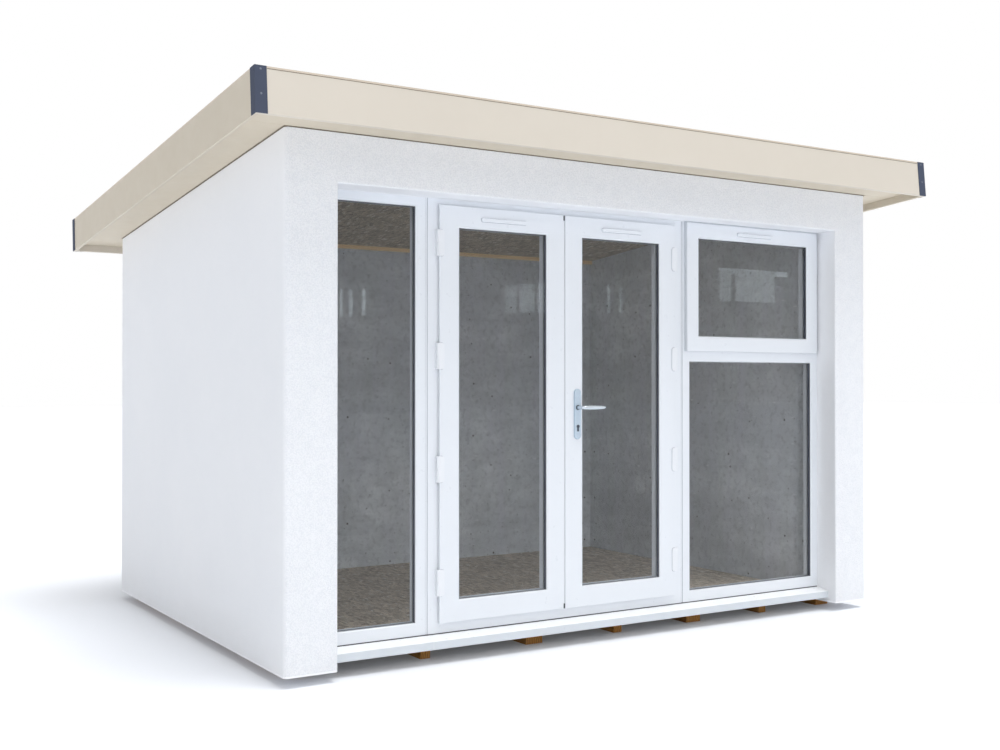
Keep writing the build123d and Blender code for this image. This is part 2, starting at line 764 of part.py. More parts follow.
half_width = (roof_x[1] - roof_x[0]) / 2 + cap_thickness
print(f"roof {2 * half_width:.1f} wide, {front_reach + rear_reach:.1f} deep, pitch {degrees(roof_angle):.2f} degrees")
print(f"left door axis {left_hinge_x:.3f}, {hinge_axis_y:.3f}; right door axis {right_hinge_x:.3f}, {hinge_axis_y:.3f}")
print(f"lever axis {lever_x:.3f}, {lever_z:.3f}; wall face y {front_y:.3f}; room y {room_front_y:.3f} to {room_rear_y:.3f}")
print(f"floor top {deck_z[1]:.3f}; ceiling at the rear lining {batten_top:.3f}")
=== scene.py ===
"""Looks of the garden office pod: its finishes, glazing units, beads, seals and fixings.

Metres, +Z up, in the frame's own axes.  The glazed front faces -Y.
"""

import json
import math

import bmesh
import bpy
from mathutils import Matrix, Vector

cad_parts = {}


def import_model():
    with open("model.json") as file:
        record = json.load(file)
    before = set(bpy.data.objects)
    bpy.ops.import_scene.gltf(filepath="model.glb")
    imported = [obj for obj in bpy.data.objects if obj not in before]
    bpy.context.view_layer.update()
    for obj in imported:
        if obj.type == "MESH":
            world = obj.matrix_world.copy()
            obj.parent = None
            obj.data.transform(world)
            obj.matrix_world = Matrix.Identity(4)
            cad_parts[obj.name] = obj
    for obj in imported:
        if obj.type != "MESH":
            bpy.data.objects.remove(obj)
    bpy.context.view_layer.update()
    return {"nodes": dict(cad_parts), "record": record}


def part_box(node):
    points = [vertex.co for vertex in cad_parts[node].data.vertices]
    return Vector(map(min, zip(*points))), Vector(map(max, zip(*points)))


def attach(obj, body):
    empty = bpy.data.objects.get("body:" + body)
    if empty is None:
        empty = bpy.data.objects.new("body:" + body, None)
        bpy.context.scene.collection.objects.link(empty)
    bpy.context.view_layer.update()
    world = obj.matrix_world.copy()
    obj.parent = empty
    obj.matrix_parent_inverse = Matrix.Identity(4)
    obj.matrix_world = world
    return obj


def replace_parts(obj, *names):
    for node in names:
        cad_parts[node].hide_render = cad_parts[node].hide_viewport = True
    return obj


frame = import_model()

MM = 0.001
BUILDING = "building"
NODES = frame["nodes"]


def span(node):
    """The limits of a CAD node along X, Y and Z, as (low, high) pairs."""
    low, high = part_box(node)
    return tuple(zip(low, high))


def shrink(limits, low, high=None):
    """Limits brought in at both ends; negative margins let them out."""
    return (limits[0] + low, limits[1] - (low if high is None else high))


def after(start, length):
    return (start, start + length)


def before(end, length):
    return (end - length, end)


def outside(limits, length):
    """Two strips, one beyond each end."""
    return (before(limits[0], length), after(limits[1], length))


def inside(limits, length):
    """Two strips, one within each end."""
    return (after(limits[0], length), before(limits[1], length))


def about(centre, length):
    return (centre - length / 2, centre + length / 2)


def middle(limits):
    return (limits[0] + limits[1]) / 2


# ---- Node trees ----


def paint(red, green, blue):
    """A paint colour given as it looks, 0 to 255 a channel, in the linear values that shaders use."""
    def linear(level):
        share = level / 255
        return share / 12.92 if share <= 0.04045 else ((share + 0.055) / 1.055) ** 2.4
    return (linear(red), linear(green), linear(blue), 1.0)


class Net:
    """A node tree being built: each call adds a node, fills its inputs and gives back what it puts out."""

    def __init__(self, tree):
        self.tree = tree

    def node(self, kind, inputs=None, **settings):
        made = self.tree.nodes.new(kind)
        for name, value in settings.items():
            setattr(made, name, value)
        for name, value in (inputs or {}).items():
            self.feed(made.inputs[name], value)
        return made

    def feed(self, socket, value):
        if isinstance(value, bpy.types.NodeSocket):
            self.tree.links.new(value, socket)
        else:
            socket.default_value = value

    def out(self, kind, inputs=None, **settings):
        """Add a node for the first of its outputs."""
        return self.node(kind, inputs, **settings).outputs[0]

    def group(self, tree, place, **inputs):
        return self.node("ShaderNodeGroup", {"Place": place, **inputs}, node_tree=tree).outputs

    def parted(self, vector):
        return self.node("ShaderNodeSeparateXYZ", {0: vector}).outputs

    def joined(self, x=0.0, y=0.0, z=0.0):
        return self.out("ShaderNodeCombineXYZ", {"X": x, "Y": y, "Z": z})

    def math(self, operation, *values):
        return self.out("ShaderNodeMath", dict(enumerate(values)), operation=operation)

    def times(self, first, second):
        return self.math("MULTIPLY", first, second)

    def vector(self, operation, *values):
        return self.out("ShaderNodeVectorMath", dict(enumerate(values)), operation=operation)

    def mix(self, share, first, second, blend="MIX"):
        made = self.node("ShaderNodeMix", {0: share, 6: first, 7: second}, data_type="RGBA", blend_type=blend)
        return made.outputs[2]

    def remap(self, value, source, target=(0.0, 1.0)):
        limits = {"Value": value, "From Min": source[0], "From Max": source[1],
                  "To Min": target[0], "To Max": target[1]}
        return self.out("ShaderNodeMapRange", limits)

    def noise(self, place, scale, detail=2.0, roughness=0.5, output="Fac"):
        inputs = {"Vector": place, "Scale": scale, "Detail": detail, "Roughness": roughness}
        return self.node("ShaderNodeTexNoise", inputs).outputs[output]

    def cells(self, place, scale, **settings):
        return self.node("ShaderNodeTexVoronoi", {"Vector": place, "Scale": scale}, **settings).outputs

    def stretched(self, place, scale, turn=(0.0, 0.0, 0.0)):
        return self.out("ShaderNodeMapping", {"Vector": place, "Scale": scale, "Rotation": turn})

    def bump(self, height, distance, strength=1.0):
        return self.out("ShaderNodeBump", {"Height": height, "Distance": distance, "Strength": strength})


def emptied(holder):
    """The node tree of a material or a world, with nothing in it."""
    holder.use_nodes = True
    holder.node_tree.nodes.clear()
    return holder.node_tree


SOCKET_KINDS = {int: "Int", float: "Float"}


def node_group(tree_kind, name, inputs, outputs):
    """A node group with named sockets: its net, what it is given and what goes out.

    An input has its default, where that is a number, or else the kind of its socket, as outputs have.
    """
    tree = bpy.data.node_groups.new(name, tree_kind)
    for label, value in inputs.items():
        kind = SOCKET_KINDS.get(type(value), value)
        socket = tree.interface.new_socket(label, in_out="INPUT", socket_type="NodeSocket" + kind)
        if kind != value:
            socket.default_value = value
    for label, kind in outputs.items():
        tree.interface.new_socket(label, in_out="OUTPUT", socket_type="NodeSocket" + kind)
    net = Net(tree)
    return net, net.node("NodeGroupInput").outputs, net.node("NodeGroupOutput").inputs


def shader_group(name, inputs, outputs):
    """A shader group of numbers: its net, the place that it follows, what it is given and what goes out."""
    net, given, out = node_group("ShaderNodeTree", name, {"Place": "Vector", **inputs},
                                 dict.fromkeys(outputs, "Float"))
    return net, given["Place"], given, out


def broad_mottle_group():
    """Slow, cloudy variation over a surface, about 0.5."""
    net, place, given, out = shader_group("broad_mottle", {"Patches": 2.0, "Contrast": 1.0}, ["Tone"])
    clouds = net.noise(place, given["Patches"], 5.0, 0.6)
    spread = net.times(net.math("SUBTRACT", clouds, 0.5), given["Contrast"])
    net.feed(out["Tone"], net.math("ADD", spread, 0.5))
    return net.tree


def stipple_group():
    """Thrown render: rounded grains of uneven height, closer in some places than in others."""
    net, place, given, out = shader_group("stipple", {"Grains": 300.0, "Coverage": 0.5}, ["Height", "Pits"])
    wander = net.noise(place, given["Grains"], 1.0, 0.5, "Color")
    nudge = net.out("ShaderNodeVectorMath", {0: wander, "Scale": 2 * MM}, operation="SCALE")
    bent = net.vector("ADD", place, nudge)
    grains = net.remap(net.cells(bent, given["Grains"])["Distance"], (0.75, 0.1))
    finer = net.noise(place, net.times(given["Grains"], 2.3), 3.0, 0.6)
    cover = net.remap(net.noise(place, net.times(given["Grains"], 0.11), 3.0, 0.6), (0.3, 0.7), (0.5, 1.0))
    body = net.times(net.math("ADD", grains, net.times(finer, given["Coverage"])), cover)
    net.feed(out["Height"], body)
    net.feed(out["Pits"], net.remap(body, (0.7, 0.15)))
    return net.tree


def orange_peel_group():
    """The faint unevenness of extruded plastic and of powder coat."""
    net, place, given, out = shader_group("orange_peel", {"Ripples": 90.0}, ["Height", "Haze"])
    ripple = net.noise(place, given["Ripples"], 2.0, 0.45)
    slow = net.noise(place, net.times(given["Ripples"], 0.05), 3.0, 0.6)
    net.feed(out["Height"], net.math("ADD", net.times(ripple, 0.35), slow))
    net.feed(out["Haze"], net.noise(place, net.times(given["Ripples"], 0.2), 4.0, 0.6))
    return net.tree


def foot_dust_group():
    """Dust that has settled low on the object, thickest at the ground."""
    net, place, given, out = shader_group("foot_dust", {"Reach": 0.4, "Amount": 0.5}, ["Mask"])
    fade = net.math("SUBTRACT", 1.0, net.math("DIVIDE", net.parted(place)["Z"], given["Reach"]))
    low = net.math("MAXIMUM", fade, 0.0)
    patches = net.remap(net.noise(place, 9.0, 5.0, 0.65), (0.3, 0.7))
    mask = net.times(net.times(net.math("POWER", low, 2.0), patches), given["Amount"])
    net.feed(out["Mask"], mask)
    return net.tree


def timber_grain_group():
    """Growth rings round an axis along Y, with fibres that run the same way."""
    net, place, given, out = shader_group(
        "timber_grain", {"Rings": 60.0, "Fibres": 240.0}, ["Figure", "Fibre"])
    swayed = net.stretched(place, (1.0, 0.06, 1.0))
    sway = net.noise(swayed, 9.0, 3.0, 0.5, "Color")
    heart = net.vector("ADD", swayed, net.vector("MULTIPLY", sway, (0.05, 0.0, 0.05)))
    across = net.vector("MULTIPLY", heart, (1.0, 0.0, 1.0))
    radius = net.node("ShaderNodeVectorMath", {0: across}, operation="LENGTH").outputs["Value"]
    wave = net.math("SINE", net.times(radius, net.times(given["Rings"], math.tau)))
    net.feed(out["Figure"], net.remap(wave, (-1.0, 1.0)))
    drawn_out = net.stretched(place, (1.0, 0.02, 1.0))
    net.feed(out["Fibre"], net.noise(drawn_out, given["Fibres"], 3.0, 0.6))
    return net.tree


def flakes_group():
    """Pressed wood flakes: layers of short chips that lie at different angles, some paler, with fibres."""
    net, place, given, out = shader_group("flakes", {"Chips": 60.0}, ["Tone", "Pale", "Edge"])
    wander = net.noise(place, given["Chips"], 2.0, 0.6, "Color")
    frayed = net.vector("ADD", place, net.vector("MULTIPLY", wander, (8 * MM, 8 * MM, 0.0)))
    tone = None
    for turn in (0.2, 1.3, 2.35):
        chips = net.stretched(frayed, (1.0, 0.38, 1.0), (0.0, 0.0, turn))
        shade = net.node("ShaderNodeSeparateColor", {0: net.cells(chips, given["Chips"])["Color"]}).outputs
        bright = net.remap(shade[2], (0.86, 0.98))
        if tone is None:
            tone, pale = shade[0], bright
        else:
            over = net.math("GREATER_THAN", shade[1], 0.5)
            tone = net.mix(over, tone, shade[0])
            pale = net.math("MAXIMUM", net.times(pale, net.math("SUBTRACT", 1.0, over)),
                            net.times(bright, over))
    fibres = net.noise(net.stretched(frayed, (1.0, 0.15, 1.0), (0.0, 0.0, 0.9)), 420.0, 2.0, 0.6)
    net.feed(out["Tone"], net.mix(0.3, tone, fibres))
    net.feed(out["Pale"], pale)
    edges = net.cells(frayed, given["Chips"], feature="DISTANCE_TO_EDGE")["Distance"]
    net.feed(out["Edge"], net.remap(edges, (0.0, 0.08)))
    return net.tree


def pinholes_group():
    """Small round holes scattered over upright walls, of which only some are open."""
    net, place, given, out = shader_group("pinholes", {"Holes": 6.0, "Radius": 0.04}, ["Mask"])
    place = net.parted(place)
    flat = net.joined(net.math("ADD", place["X"], place["Y"]), place["Z"])
    cells = net.cells(flat, given["Holes"], voronoi_dimensions="2D")
    luck = net.out("ShaderNodeSeparateColor", {0: cells["Color"]})
    radius = net.times(given["Radius"], net.remap(luck, (0.45, 1.0)))
    net.feed(out["Mask"], net.remap(net.math("SUBTRACT", radius, cells["Distance"]), (0.0, 0.012)))
    return net.tree


BROAD_MOTTLE = broad_mottle_group()
STIPPLE = stipple_group()
ORANGE_PEEL = orange_peel_group()
FOOT_DUST = foot_dust_group()
TIMBER_GRAIN = timber_grain_group()
FLAKES = flakes_group()
PINHOLES = pinholes_group()

# ---- Finishes ----


class Finish(Net):
    """A material being built round one shader, with the place that its patterns follow."""

    def __init__(self, name, roughness, metallic=0.0, **sockets):
        """Plain numbers are set on the shader's own sockets."""
        self.material = bpy.data.materials.new(name)
        super().__init__(emptied(self.material))
        shader = self.node("ShaderNodeBsdfPrincipled", {"Roughness": roughness, "Metallic": metallic})
        for label, value in sockets.items():
            shader.inputs[label.replace("_", " ")].default_value = value
        self.shader = shader.inputs
        self.surface = self.node("ShaderNodeOutputMaterial", {"Surface": shader.outputs[0]}).inputs["Surface"]
        self.place = self.node("ShaderNodeTexCoord").outputs["Object"]

    def mottled(self, patches, contrast, stretch=None):
        place = self.stretched(self.place, stretch) if stretch else self.place
        return self.group(BROAD_MOTTLE, place, Patches=patches, Contrast=contrast)["Tone"]

    def peeled(self, ripples):
        return self.group(ORANGE_PEEL, self.place, Ripples=ripples)

    def dusted(self, colour, reach, amount):
        """A colour with dust over its lower part."""
        mask = self.group(FOOT_DUST, self.place, Reach=reach, Amount=amount)["Mask"]
        return self.mix(mask, colour, paint(196, 186, 170))

    def facing(self):
        """How far a face looks along +Y; faces of the glazed front have -1."""
        return self.parted(self.node("ShaderNodeTexCoord").outputs["Normal"])["Y"]

    def done(self, colour, relief=None, gloss=None):
        """The material, with its colour, relief (height, depth, strength) and gloss (mask, low, high)."""
        self.feed(self.shader["Base Color"], colour)
        if relief:
            self.feed(self.shader["Normal"], self.bump(*relief))
        if gloss:
            mask, low, high = gloss
            self.feed(self.shader["Roughness"], self.remap(mask, (0.3, 0.7), (low, high)))
        return self.material


def darker(colour, less):
    return paint(*(level - less for level in colour))


def thrown_render():
    """White render with a fine thrown texture, open on the front and tighter on the other faces.

    It ends at the foot of the walls in a smooth white stop bead.
    """
    net = Finish("thrown_render", 0.9, Specular_IOR_Level=0.25)
    tone = net.mottled(1.6, 1.4)
    stipple = net.group(STIPPLE, net.place, Grains=170.0, Coverage=0.6)
    front = net.remap(net.facing(), (-0.3, -0.9), (0.15, 1.0))
    above_bead = net.math("GREATER_THAN", net.parted(net.place)["Z"], wall_foot + stop_bead_height)
    thrown = net.times(front, above_bead)
    colour = net.mix(tone, paint(238, 240, 243), paint(244, 245, 247))
    # The pits between the grains on the front are painted a darker blue-grey: painted shade in their hollows.
    pit_shade = net.times(net.times(stipple["Pits"], thrown), 0.3)
    colour = net.dusted(net.mix(pit_shade, colour, paint(204, 209, 217)), 0.3, 0.1)
    colour = net.mix(above_bead, paint(250, 251, 253), colour)
    return net.done(colour, (net.times(stipple["Height"], thrown), 1.5 * MM))


def lining_board(name, foot_painted_light=1.0, head_painted_light=1.0):
    """Smooth cement lining board: cloudy grey with faint bands and runs, pinholes and a few scuffs.

    The foot and head factors are painted light: the colour is scaled from its foot to its head to make up for
    a wall that turns away from the light.
    """
    net = Finish(name, 0.8)
    colour = net.mix(net.mottled(1.3, 3.2), paint(206, 212, 215), paint(234, 238, 240))
    bands = net.mottled(1.0, 4.0, (0.25, 0.25, 2.6))
    patches = net.mottled(6.0, 3.0, (1.0, 1.0, 1.4))
    runs = net.mottled(1.0, 2.6, (9.0, 9.0, 0.8))
    grit = net.noise(net.place, 30.0, 3.0, 0.6)
    scuffs = net.noise(net.stretched(net.place, (1.0, 1.0, 3.0)), 14.0, 3.0, 0.6)
    for mask, limits, most, tint in (
            (bands, (0.35, 0.75), 0.45, (186, 191, 196)), (patches, (0.1, 0.9), 0.6, (188, 193, 196)),
            (runs, (0.3, 0.9), 0.3, (214, 212, 226)), (grit, (0.5, 0.68), 0.4, (158, 161, 166)),
            (scuffs, (0.64, 0.72), 0.5, (246, 248, 250))):
        colour = net.mix(net.remap(mask, limits, (0.0, most)), colour, paint(*tint))
    # Painted light: the colour is scaled from the foot factor to the head factor.
    painted_light_tones = net.remap(net.parted(net.place)["Z"], (0.4, 1.9), (foot_painted_light, head_painted_light))
    colour = net.mix(1.0, colour, painted_light_tones, "MULTIPLY")
    holes = net.group(PINHOLES, net.place, Holes=6.5, Radius=0.05)["Mask"]
    specks = net.group(PINHOLES, net.place, Holes=17.0, Radius=0.085)["Mask"]
    # The pinholes and specks are painted near black: painted shade inside the small holes.
    pinhole_shade = net.math("MAXIMUM", holes, net.times(specks, 0.45))
    between_pinholes = net.math("SUBTRACT", 1.0, pinhole_shade)
    return net.done(net.mix(pinhole_shade, colour, paint(70, 68, 72)), (between_pinholes, 1 * MM, 0.4))


def flake_board(name, light, dark, pale_share):
    """Flake board, as on the floor and the ceiling."""
    net = Finish(name, 0.7)
    flakes = net.group(FLAKES, net.place, Chips=64.0)
    colour = net.mix(flakes["Tone"], paint(*dark), paint(*light))
    colour = net.mix(net.times(net.mottled(2.5, 2.0), 0.3), colour, paint(*light))
    colour = net.mix(net.times(flakes["Pale"], pale_share), colour, paint(236, 230, 218))
    # The edges of the chips are painted darker: painted shade in the gaps between them.
    gaps = net.remap(flakes["Edge"], (1.0, 0.0), (0.0, 0.45))
    return net.done(net.mix(gaps, colour, paint(92, 82, 68)), (flakes["Tone"], 0.8 * MM, 0.5))


def sawn_timber(name, light, dark, dust):
    """Sawn softwood that runs along Y."""
    net = Finish(name, 0.75)
    grain = net.group(TIMBER_GRAIN, net.place, Rings=90.0, Fibres=260.0)
    colour = net.mix(grain["Figure"], paint(*light), paint(*dark))
    colour = net.mix(net.remap(grain["Fibre"], (0.35, 0.7), (0.0, 0.5)), colour, paint(*dark))
    return net.done(net.dusted(colour, 0.08, dust), (grain["Fibre"], 1 * MM, 0.7))


def coated_board(name, colour, roughness):
    """A smooth coated board or metal trim, with a trace of haze."""
    net = Finish(name, roughness)
    peel = net.peeled(60.0)
    streaks = net.times(net.mottled(1.1, 2.0), 0.36)
    return net.done(net.mix(streaks, paint(*colour), darker(colour, 12)),
                    (peel["Height"], 0.6 * MM, 0.4), (peel["Haze"], roughness - 0.07, roughness + 0.07))


def white_plastic(name, colour, roughness):
    """Extruded or moulded white plastic with a soft gloss and a barely uneven skin."""
    net = Finish(name, roughness, Coat_Weight=0.15, Coat_Roughness=0.12)
    peel = net.peeled(160.0)
    return net.done(net.mix(peel["Haze"], paint(*colour), darker(colour, 2)),
                    (peel["Height"], 0.05 * MM, 0.3), (peel["Haze"], roughness - 0.03, roughness + 0.05))


def painted_sill_plastic():
    """White plastic whose front-facing nose strip is greyer than the fall behind it, and whose fall is whiter
    than the frames: painted shade on the nose and painted light on the fall.
    """
    net = Finish("white_sill_plastic", 0.3, Coat_Weight=0.15, Coat_Roughness=0.12)
    haze = net.peeled(160.0)["Haze"]
    # Painted shade: faces that look forward, along the nose, are greyer.
    nose = net.remap(net.facing(), (-0.6, -0.95))
    # Painted light: the fall is whiter than the frame plastic.
    fall = net.mix(haze, paint(247, 249, 251), paint(244, 246, 249))
    return net.done(net.mix(nose, fall, paint(212, 218, 223)), gloss=(haze, 0.27, 0.35))


def moulded(name, colour, roughness, gloss=0.5):
    """Moulded plastic, rubber or sealant with a fine grain."""
    net = Finish(name, roughness, Specular_IOR_Level=gloss)
    grain = net.noise(net.place, 900.0, 2.0, 0.6)
    return net.done(net.mix(net.mottled(6.0, 1.2), darker(colour, 6), paint(*colour)),
                    (grain, 0.2 * MM, 0.6), (grain, roughness - 0.08, roughness + 0.08))


def brushed_metal(name, colour, roughness, brush):
    """Satin metal with a brushed grain; brush stretches the grain along one axis."""
    net = Finish(name, roughness, 1.0)
    grain = net.noise(net.stretched(net.place, brush), 1400.0, 2.0, 0.6)
    haze = net.peeled(150.0)["Haze"]
    return net.done(net.mix(haze, paint(*colour), darker(colour, 14)),
                    (grain, 0.1 * MM, 0.5), (grain, roughness - 0.06, roughness + 0.1))


def clear_glass():
    """Float glass that lets the lamps through to the room behind it."""
    net = Finish("clear_glass", 0.0, Transmission_Weight=1.0, IOR=1.22)
    glass = net.surface.links[0].from_socket
    clear = net.out("ShaderNodeBsdfTransparent", {"Color": paint(253, 254, 254)})
    shadow = net.node("ShaderNodeLightPath").outputs["Is Shadow Ray"]
    net.feed(net.surface, net.out("ShaderNodeMixShader", {0: shadow, 1: glass, 2: clear}))
    return net.done(net.mix(net.mottled(2.0, 1.0), paint(251, 252, 253), paint(254, 254, 255)),
                    (net.noise(net.place, 1.1, 1.0, 0.4), 2 * MM, 0.2))


def roof_sheet():
    """Dark rubber roof membrane, slightly wrinkled, with pale dust."""
    net = Finish("roof_sheet", 0.75)
    wrinkle = net.noise(net.stretched(net.place, (1.0, 0.35, 1.0)), 3.0, 4.0, 0.55)
    chalk = net.times(net.mottled(2.4, 2.2), 0.5)
    return net.done(net.mix(chalk, paint(58, 60, 63), paint(108, 108, 106)), (wrinkle, 4 * MM, 0.6))


def panel_foam():
    """The pale foam core of the roof panel."""
    net = Finish("panel_foam", 0.95)
    beads = net.cells(net.place, 260.0)["Distance"]
    return net.done(net.mix(beads, paint(240, 236, 220), paint(214, 208, 188)), (beads, 1 * MM))


wall_foot = span("left_wall")[2][0]
stop_bead_height = 8 * MM

FINISHES = {
    "render": thrown_render(),
    "lining_board": lining_board("lining_board"),
    "treated_timber": sawn_timber("treated_timber", (208, 150, 70), (160, 106, 44), 0.1),
    "pine": sawn_timber("planed_pine", (252, 230, 184), (238, 206, 156), 0.0),
    "floor_board": flake_board("floor_board", (240, 226, 204), (140, 122, 100), 0.9),
    "floor_core": coated_board("floor_core_facing", (188, 190, 192), 0.8),
    # The ceiling board is a darker, less speckled copy of the floor's flake board: painted shade for a
    # ceiling that faces down into the room.
    "ceiling_board": flake_board("ceiling_board", (214, 200, 178), (124, 112, 95), 0.75),
    "roof_core": panel_foam(),
    "roof_membrane": roof_sheet(),
    "edge_trim": coated_board("edge_trim", (206, 193, 176), 0.45),
    "fascia": coated_board("fascia_board", (214, 206, 193), 0.45),
    "soffit": coated_board("soffit_board", (209, 198, 178), 0.5),
    "corner_cap": moulded("corner_cap_plastic", (82, 88, 104), 0.6, 0.03),
    "white_frame": white_plastic("white_frame_plastic", (232, 236, 241), 0.3),
    "white_hinge": white_plastic("white_hinge_plastic", (236, 239, 243), 0.35),
    "glazing": clear_glass(),
    "black_rubber": moulded("black_rubber", (44, 46, 50), 0.6),
    "satin_chrome": brushed_metal("satin_chrome", (192, 206, 219), 0.3, (1.0, 1.0, 0.05)),
    "nickel": brushed_metal("nickel", (92, 98, 108), 0.4, (1.0, 0.05, 1.0)),
}
GREY_GASKET = moulded("grey_gasket", (150, 152, 156), 0.6)
SLATE_SPACER = moulded("slate_spacer", (90, 96, 110), 0.5)
# The side fascias are a darker copy of the fascia board: painted shade for the faces that turn away from the
# light.
SIDE_FASCIA_PAINTED_SHADE = coated_board("side_fascia_board", (203, 193, 175), 0.5)
GREY_LIP = moulded("grey_lip", (236, 239, 243), 0.6)
COUPLER_GROOVE_SHADE = moulded("seam_grey", (178, 182, 188), 0.6)
# The levers take a brighter, smoother copy of the satin chrome: the lower roughness is a real finish, the
# brighter colour is painted highlight.
LEVER_CHROME_PAINTED_HIGHLIGHT = brushed_metal("bright_lever", (206, 214, 222), 0.2, (0.05, 1.0, 1.0))
SEAM_TAPE = moulded("seam_tape", (74, 76, 78), 0.7)
CAP_SCREW = moulded("cap_screw_paint", (112, 118, 132), 0.5)
SILL_PAINTED_LIGHT_AND_SHADE = painted_sill_plastic()
# The room-side beads are a whiter copy of the frame plastic: painted light for beads that lie in the shade of
# the room.
ROOM_BEAD_PAINTED_LIGHT = white_plastic("room_bead_plastic", (250, 251, 253), 0.4)
# Thin grey plates round the vents and hinges: painted shadow at their edges.
SHADOW_OUTLINE_GREY = moulded("shim_grey", (158, 164, 174), 0.6)
# Painted shadow under the soffit boards.
SOFFIT_SHADOW_STRIP = moulded("soffit_joint_sealant", (128, 120, 106), 0.7)
# Painted shadow under the edge trim.
TRIM_SHADOW_STRIP = moulded("trim_joint_sealant", (134, 122, 106), 0.7)
SEALANT = moulded("white_sealant", (240, 242, 245), 0.5)
SASH_SEAL_PAINTED_SHADE = moulded("sash_seal", (208, 212, 218), 0.6)

# ---- Meshes ----


def in_scene(name, data):
    """A new object in the scene, at the origin."""
    made = bpy.data.objects.new(name, data)
    bpy.context.scene.collection.objects.link(made)
    return made


def piece(name, mesh, slot, body, finish=None):
    """A finished piece in its place, which rides on a body and takes its finish from a slot."""
    made = in_scene(name, mesh)
    if finish is not None or not mesh.materials:
        mesh.materials.clear()
        mesh.materials.append(finish or FINISHES[slot])
    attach(made, body)
    return made


def add_block(bm, x, y, z):
    """A closed block between its limits."""
    corners = [bm.verts.new((px, py, pz)) for pz in z for py in y for px in x]
    for face in ((0, 2, 3, 1), (4, 5, 7, 6), (0, 1, 5, 4), (1, 3, 7, 5), (3, 2, 6, 7), (2, 0, 4, 6)):
        bm.faces.new([corners[i] for i in face])


def add_loft(bm, rings, closed=False):
    """Skin from each ring of points to the next; the ends are capped, or joined to each other when closed."""
    loops = [[bm.verts.new(point) for point in ring] for ring in rings]
    for near, far in zip(loops, loops[1:] + (loops[:1] if closed else [])):
        for i in range(len(near)):
            j = (i + 1) % len(near)
            bm.faces.new((near[i], near[j], far[j], far[i]))
    if not closed:
        bm.faces.new(loops[0])
        bm.faces.new(reversed(loops[-1]))


def add_ring(bm, x, y, z, width):
    """A closed rectangular ring with mitred corners: x and z are its outer limits, y its depth."""
    rings = []
    for margin, depth in ((0.0, y[0]), (width, y[0]), (width, y[1]), (0.0, y[1])):
        (left, right), (foot, head) = shrink(x, margin), shrink(z, margin)
        rings.append([(left, depth, foot), (right, depth, foot), (right, depth, head), (left, depth, head)])
    add_loft(bm, rings, closed=True)


sharp_angle = math.radians(40)


def mesh_from(name, bm, bevel=0.0, segments=2):
    """Turn a bmesh into a mesh whose faces point outwards, with its edges softened where asked."""
    bmesh.ops.recalc_face_normals(bm, faces=bm.faces)
    if bevel:
        sharp = [edge for edge in bm.edges if edge.calc_face_angle(0.0) > sharp_angle]
        bmesh.ops.bevel(bm, geom=sharp, offset=bevel, segments=segments, affect="EDGES", clamp_overlap=True)
    mesh = bpy.data.meshes.new(name)
    bm.to_mesh(mesh)
    bm.free()
    return mesh


def solid(name, parts, slot, body, finish=None, bevel=0.0, segments=2):
    """A finished piece of closed parts, each given as the function that adds it and its measures."""
    bm = bmesh.new()
    for add, *measures in parts:
        add(bm, *measures)
    return piece(name, mesh_from(name, bm, bevel, segments), slot, body, finish)


def smooth(made):
    """Shade a piece smooth, apart from its sharp edges."""
    made.data.shade_smooth()
    made.data.set_sharp_from_angle(angle=sharp_angle)
    return made


# ---- Glazing ----

glass_sheet = 4 * MM
glass_cavity = 15 * MM
glass_bite = 12 * MM            # how far a unit reaches into its frame
spacer_show = 1 * MM
gasket_width = 2.5 * MM
gasket_proud = 2 * MM

glazing = {
    "side_light_glass": BUILDING,
    "lower_light_glass": BUILDING,
    "window_glass": BUILDING,
    "left_door_glass": "left_door",
    "right_door_glass": "right_door",
}


def glaze(node, body):
    """A sealed unit: two sheets of glass, the spacer between them, gaskets and the bead that holds it in."""
    x, y, z = span(node)
    name = node.replace("_glass", "")
    cavity = after(y[0] + glass_sheet, glass_cavity)
    unit_rear = cavity[1] + glass_sheet
    panes = solid(name + "_panes", [(add_block, x, after(y[0], glass_sheet), z),
                                    (add_block, x, (cavity[1], unit_rear), z)], "glazing", body)
    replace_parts(panes, node)
    solid(name + "_spacer", [(add_ring, x, cavity, z, glass_bite + spacer_show)],
          "black_rubber", body, SLATE_SPACER)
    sight_x, sight_z = shrink(x, glass_bite), shrink(z, glass_bite)
    solid(name + "_gaskets", [(add_ring, sight_x, gasket_y, sight_z, gasket_width)
                              for gasket_y in outside((y[0], unit_rear), gasket_proud)],
          "black_rubber", body, GREY_GASKET, 0.4 * MM, 1)
    solid(name + "_room_bead", [(add_ring, x, (unit_rear, y[1]), z, glass_bite)],
          "white_frame", body, ROOM_BEAD_PAINTED_LIGHT)


for glass_node, glass_body in glazing.items():
    glaze(glass_node, glass_body)

# ---- Geometry trees ----


def geometry_tree(name, inputs):
    """A geometry tree with named inputs: a mesh comes in, the finish is set on what goes out."""
    return node_group("GeometryNodeTree", name, {"Seeds": "Geometry", **inputs, "Finish": "Material"},
                      {"Pieces": "Geometry"})


def finish_instances(net, given, out, instances):
    """Make instances real and give them their finish."""
    real = net.out("GeometryNodeRealizeInstances", {"Geometry": instances})
    smoothed = net.out("GeometryNodeSetShadeSmooth", {"Geometry": real})
    finished = net.out("GeometryNodeSetMaterial", {"Geometry": smoothed, "Material": given["Finish"]})
    net.feed(out["Pieces"], finished)


